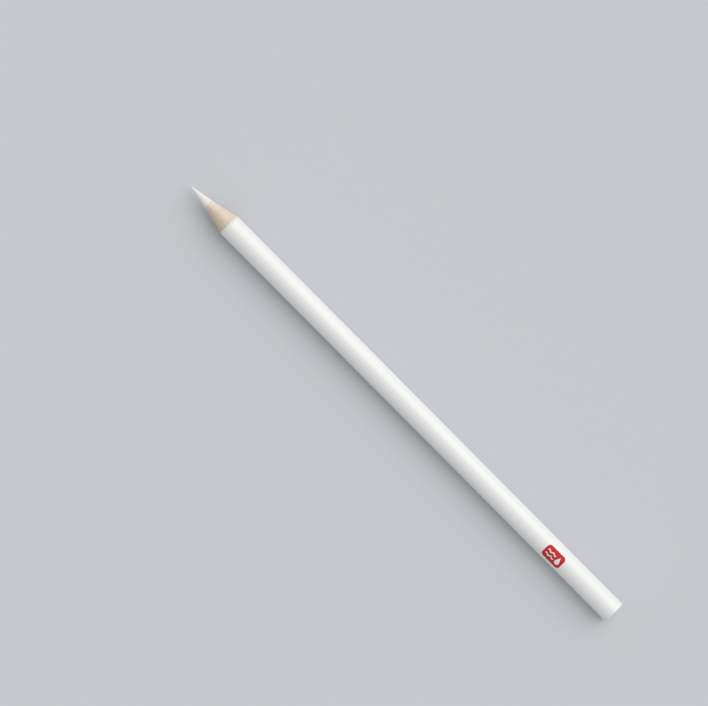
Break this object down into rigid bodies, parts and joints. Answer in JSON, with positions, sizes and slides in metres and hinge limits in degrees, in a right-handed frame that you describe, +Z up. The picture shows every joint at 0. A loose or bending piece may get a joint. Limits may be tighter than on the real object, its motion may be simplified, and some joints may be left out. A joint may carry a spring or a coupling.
{
  "type": "marking pencil",
  "caption": "Round white wooden pencil for marking fabric, sharpened to a chalky white point, with a square bare cut end and a small red printed mark near it.",
  "frame": {"origin": "on the surface that the pencil lies on, under the middle of its length", "axes": "+X along the barrel from the sharpened point to the cut end, +Z up; the printed mark faces up, turned 18 degrees towards -Y"},
  "size_m": [0.175, 0.0072, 0.0072],
  "materials": {
    "lead": "matte",
    "wood": "matte",
    "glue": "satin",
    "undercoat": "matte",
    "lacquer": "gloss",
    "print": "satin"
  },
  "bodies": {
    "root": {"lead": "lead", "upper_slat": "wood", "lower_slat": "wood", "glue_film": "glue", "undercoat": "undercoat", "lacquer_coat": "lacquer", "printed_mark": "print"}
  },
  "joints": []
}
